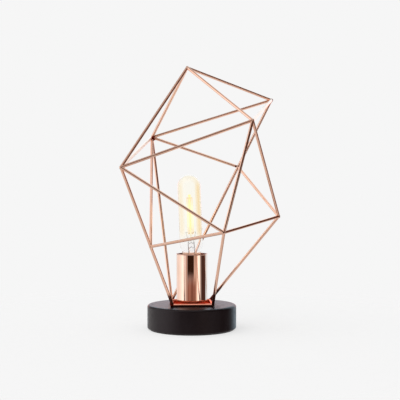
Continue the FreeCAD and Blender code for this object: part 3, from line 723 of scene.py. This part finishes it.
def solder_tip():
    """Domed solder on the bulb's tip."""
    bottom, top, radius = levels("bulb_tip")
    outline = [(0, bottom, 0)]
    for step in range(1, SOLDER_STEPS + 1):
        share = step / SOLDER_STEPS
        level = bottom + (top - bottom) * SOLDER_RISE * share ** SOLDER_CURVE
        outline.append((radius * share, level, 0))
    outline += [(radius, top, 0), (0, top, 0)]
    made = turned(outline)
    for vertex in made.verts:
        if bottom + SOLDER_EDGE < vertex.co.z < top - SOLDER_EDGE:
            vertex.co.z += SOLDER_LUMPS * lumps.noise(vertex.co * SOLDER_LUMP_PACE)
    tip = piece("solder_tip", made, "bulb", "tip_solder")
    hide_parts("bulb_tip")


def filament_path():
    """Middle line of the filament, up and down between its supports, as points at even steps."""
    points = []
    bend = FILAMENT_RADIUS * math.sin(math.pi / FILAMENT_RUNS)
    step = COIL_PITCH / COIL_STEPS
    for run in range(FILAMENT_RUNS):
        places = []
        for neighbour in (run, run + 1):
            turn = math.radians(360 / FILAMENT_RUNS * (neighbour + 0.5) - 90)
            places.append(FILAMENT_RADIUS * Vector((math.cos(turn), math.sin(turn), 0)))
        rising = run % 2 == 0
        count = round((FILAMENT_TOP - FILAMENT_BOTTOM) / step)
        for k in range(count):
            share = k / count if rising else 1 - k / count
            level = FILAMENT_BOTTOM + (FILAMENT_TOP - FILAMENT_BOTTOM) * share
            points.append(places[0] + Vector((0, 0, level)))
        if run + 1 < FILAMENT_RUNS:
            end = FILAMENT_TOP if rising else FILAMENT_BOTTOM
            side = 1 if rising else -1
            count = round(math.pi * bend / step)
            for k in range(count):
                turn = math.pi * k / count
                flat = places[0].lerp(places[1], 0.5 - 0.5 * math.cos(turn))
                points.append(flat + Vector((0, 0, end + side * bend * math.sin(turn))))
    return points


def leaning(place):
    """Place in the upright bulb, moved to where it is in the leaning glass."""
    pivot = Vector((0, 0, CAP_RIM))
    return pivot + Matrix.Rotation(-BULB_LEAN, 3, "Y") @ (place - pivot)


def bulb_curve(name, paths, radius, slot, finish=None):
    """Round wires inside the bulb, along points of the upright bulb."""
    curve = bpy.data.curves.new(name, "CURVE")
    curve.dimensions = "3D"
    curve.bevel_depth = radius
    curve.bevel_resolution = 1
    curve.use_fill_caps = True
    for path in paths:
        line = curve.splines.new("POLY")
        line.points.add(len(path) - 1)
        for point, place in zip(line.points, path):
            point.co = leaning(place).to_4d()
    curve.materials.append(finish or FINISHES[slot])
    made = bpy.data.objects.new(name, curve)
    bpy.context.scene.collection.objects.link(made)
    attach(made, "bulb")
    return made


def seal_wires():
    """Thin wires through the glass press and on down the stem."""
    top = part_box("lead_wires")[0].z
    paths = [[Vector((side * SEAL_SPREAD, 0, level)) for level in (top, CAP_RIM)] for side in (-1, 1)]
    bulb_curve("seal_wires", paths, SEAL_WIRE, "bulb_wire", SEAL_METAL)


def press_folds():
    """Wavy folds that the pinching left across the glass press."""
    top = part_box("lead_wires")[0].z
    paths = []
    for drop in FOLD_LEVELS:
        path = []
        for step in range(-FOLD_STEPS, FOLD_STEPS + 1):
            share = step / FOLD_STEPS
            wave = FOLD_RISE * math.cos(math.tau * share)
            path.append(Vector((share * FOLD_REACH, 0, top - drop + wave)))
        paths.append(path)
    bulb_curve("press_folds", paths, FOLD_RADIUS, "stem_glass", FOLDED_GLASS)


def coiled_filament():
    """Filament wire wound in a fine coil along its path."""
    path = filament_path()
    coil = []
    side = Vector((1, 0, 0))
    for k in range(1, len(path) - 1):
        way = (path[k + 1] - path[k - 1]).normalized()
        side = (side - way * side.dot(way)).normalized()
        turn = math.tau * k / COIL_STEPS
        coil.append(path[k] + COIL_RADIUS * (side * math.cos(turn) + way.cross(side) * math.sin(turn)))
    wound = bulb_curve("coiled_filament", [coil], COIL_WIRE, "filament_glow")
    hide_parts("filament")


# Studio

DARK = (0.035, 0.016, 0.008)
BROWN = (0.11, 0.045, 0.028)
SHADE = (0.30, 0.148, 0.11)

# Soft boxes and dark cards that the metal mirrors: middle and half width across (degrees, 0 at the
# camera, positive to the right), middle and half width up, colour, softness of the edges across and up.
# Later ones lie over earlier ones.
STUDIO = [
    ("table", 0, 200, -52, 44, (0.70, 0.67, 0.65), 6, 6),
    ("table on the right", 115, 35, -62, 24, (1.10, 1.10, 1.10), 9, 9),
    ("table in shade", 82, 38, -28, 18, (0.32, 0.22, 0.19), 9, 9),
    ("darker table beside it", 54, 7, -17, 8, (0.10, 0.06, 0.045), 6, 5),
    ("ceiling lamp", 40, 55, 70, 14, (1.20, 1.20, 1.20), 9, 9),
    ("dark ceiling on the left", -30, 22, 60, 14, (0.46, 0.29, 0.23), 9, 9),
    ("left soft box", -84, 36, 16, 36, (1.15, 1.15, 1.15), 9, 9),
    ("bright edge of the left soft box", -70, 14, -4, 12, (1.44, 1.44, 1.44), 9, 9),
    ("window", -48, 22, 36, 10, (1.15, 1.15, 1.15), 9, 9),
    ("dark behind on the left", -150, 20, 38, 32, (0.12, 0.08, 0.065), 9, 9),
    ("front right", 28, 18, -4, 14, (0.90, 0.70, 0.60), 7, 7),
    ("dark card on the right", 72, 52, 24, 28, BROWN, 7, 4),
    ("dark side of the camera", -8, 25, 10, 15.65, DARK, 4, 0.6),
    ("table before the camera", -1, 33, -8.85, 3.2, SHADE, 4, 0.6),
    ("light streak on it", -15, 5, -8.85, 3.2, (0.38, 0.195, 0.15), 5, 0.6),
    ("dark streak on it", 3, 7, -8.85, 3.2, (0.22, 0.097, 0.07), 5, 0.6),
    ("warm gap on the left", -40, 6, -5.5, 3.0, (0.57, 0.41, 0.36), 3, 1.0),
    ("strip light on the right", 54, 11, -5.3, 2.3, (1.48, 1.48, 1.46), 5, 0.8),
    ("dark card beside it", 112, 36, -4, 10, (0.07, 0.035, 0.028), 6, 6),
    ("background", 167, 37, 18, 34, (1.05, 1.34, 1.52), 9, 9),
    ("low background", 184, 32, 5, 6, (2.00, 1.22, 1.18), 9, 3),
    ("low behind on the left", -145, 40, -5.5, 3.0, (0.98, 0.96, 0.95), 6, 1.0),
    ("low behind on the right", 168, 16, -5.5, 3.0, (0.50, 0.44, 0.42), 6, 1.0),
]
STUDIO_LEVEL = 0.55


def studio_world():
    """Surroundings that are pale to the camera and through glass, and even light to dull surfaces.

    Polished metal mirrors the studio's lamps and cards instead of the pale background.
    """
    world = bpy.data.worlds.new("studio")
    bpy.context.scene.world = world
    world.use_nodes = True
    tree = world.node_tree
    place = node(tree, "ShaderNodeTexCoord")
    parts = node(tree, "ShaderNodeSeparateXYZ")
    tree.links.new(place.outputs["Generated"], parts.inputs[0])
    to_camera = sums(tree, "MULTIPLY", parts.outputs["Y"], -1.0)
    round_about = sums(tree, "DEGREES", sums(tree, "ARCTAN2", parts.outputs["X"], to_camera))
    up = sums(tree, "DEGREES", sums(tree, "ARCSINE", parts.outputs["Z"]))
    shown = grey(STUDIO_LEVEL)
    for label, middle, half, rise, half_rise, colour, edge, edge_up in STUDIO:
        turn = sums(tree, "WRAP", sums(tree, "SUBTRACT", round_about, float(middle)), 180.0)
        turn.node.inputs[2].default_value = -180.0
        off = sums(tree, "SUBTRACT", sums(tree, "ABSOLUTE", turn), float(half))
        off_up = sums(tree, "ABSOLUTE", sums(tree, "SUBTRACT", up, float(rise)))
        off_up = sums(tree, "SUBTRACT", off_up, float(half_rise))
        inside = sums(
            tree, "MULTIPLY",
            between(tree, off, -float(edge), float(edge), 1.0, 0.0),
            between(tree, off_up, -float(edge_up), float(edge_up), 1.0, 0.0))
        inside.node.label = label
        shown = blended(tree, inside, shown, colour + (1.0,))
    ray = node(tree, "ShaderNodeLightPath")
    direct = ray.outputs["Is Camera Ray"]
    seen = sums(tree, "ADD", direct, ray.outputs["Is Transmission Ray"], clamp=True)
    dull = sums(tree, "SUBTRACT", 1.0, ray.outputs["Is Glossy Ray"])
    plain = blended(tree, dull, shown, grey(AMBIENT))
    tree.links.new(blended(tree, seen, plain, grey(PALE)), tree.nodes["Background"].inputs["Color"])


def key_lamp():
    """Soft lamp from the upper left: its light on the floor is even."""
    lamp = bpy.data.lights.new("key", "SUN")
    lamp.energy = KEY_LIGHT
    lamp.angle = math.radians(KEY_SPREAD)
    holder = bpy.data.objects.new("key", lamp)
    holder.rotation_euler = Vector(KEY_WAY).to_track_quat("-Z", "Y").to_euler()
    holder.visible_glossy = False
    bpy.context.scene.collection.objects.link(holder)


def floor():
    """Pale floor that fades into the background away from the lamp."""
    mesh = bpy.data.meshes.new("floor")
    made = bmesh.new()
    bmesh.ops.create_grid(made, x_segments=1, y_segments=1, size=FLOOR_SIZE)
    made.to_mesh(mesh)
    made.free()
    thing = bpy.data.objects.new("floor", mesh)
    bpy.context.scene.collection.objects.link(thing)
    paint, tree, shader = material("pale_floor")
    shader.inputs["Base Color"].default_value = grey(PALE * (1 - FLOOR_EVEN))
    shader.inputs["Roughness"].default_value = 1.0
    shader.inputs["Specular IOR Level"].default_value = 0.0
    shader.inputs["Emission Color"].default_value = grey(PALE)
    shader.inputs["Emission Strength"].default_value = FLOOR_EVEN
    place = node(tree, "ShaderNodeNewGeometry")
    away = node(tree, "ShaderNodeVectorMath", operation="LENGTH")
    tree.links.new(place.outputs["Position"], away.inputs[0])
    fade = between(tree, away.outputs["Value"], FLOOR_SOLID, FLOOR_GONE)
    clear = node(tree, "ShaderNodeBsdfTransparent")
    mix = node(tree, "ShaderNodeMixShader")
    tree.links.new(fade, mix.inputs["Fac"])
    tree.links.new(shader.outputs["BSDF"], mix.inputs[1])
    tree.links.new(clear.outputs["BSDF"], mix.inputs[2])
    tree.links.new(mix.outputs["Shader"], tree.nodes["Material Output"].inputs["Surface"])
    mesh.materials.append(paint)
    thing.visible_glossy = False


def camera():
    eye = bpy.data.cameras.new("camera")
    eye.lens = CAMERA_LENS
    eye.sensor_width = CAMERA_SENSOR
    holder = bpy.data.objects.new("camera", eye)
    holder.location = CAMERA_PLACE
    holder.rotation_euler = (math.radians(90), 0, 0)
    bpy.context.scene.collection.objects.link(holder)
    bpy.context.scene.camera = holder


dress_nodes()
for corner, bars in CAGE_CORNERS.items():
    weld_bead(corner, bars)
screw_cap()
threaded_shell()
centre_tube()
solder_tip()
coiled_filament()
seal_wires()
press_folds()
camera()
studio_world()
key_lamp()
floor()
bpy.context.scene.view_settings.view_transform = "Standard"
